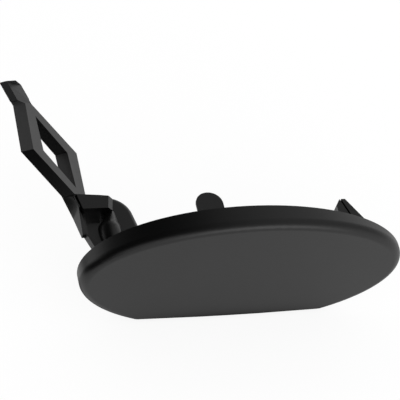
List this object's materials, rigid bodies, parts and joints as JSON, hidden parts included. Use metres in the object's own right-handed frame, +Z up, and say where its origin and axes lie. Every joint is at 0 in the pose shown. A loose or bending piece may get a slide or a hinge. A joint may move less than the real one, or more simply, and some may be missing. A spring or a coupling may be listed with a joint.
{
  "type": "tow hook cover",
  "caption": "Clip-in bumper cap for a towing eye opening, with snap catches behind and a barbed retaining strap.",
  "frame": {"origin": "middle of the rim's back face, on the plane that seats against the bumper", "axes": "+Y from the cap's front to the clips and strap behind it, +Z up with the straight edge of the cap at the bottom, +X to the right as seen from the front"},
  "size_m": [0.0926, 0.0548, 0.0393],
  "materials": {
    "black_plastic": "satin"
  },
  "bodies": {
    "root": {"tow_hook_cover": "black_plastic"}
  },
  "joints": []
}
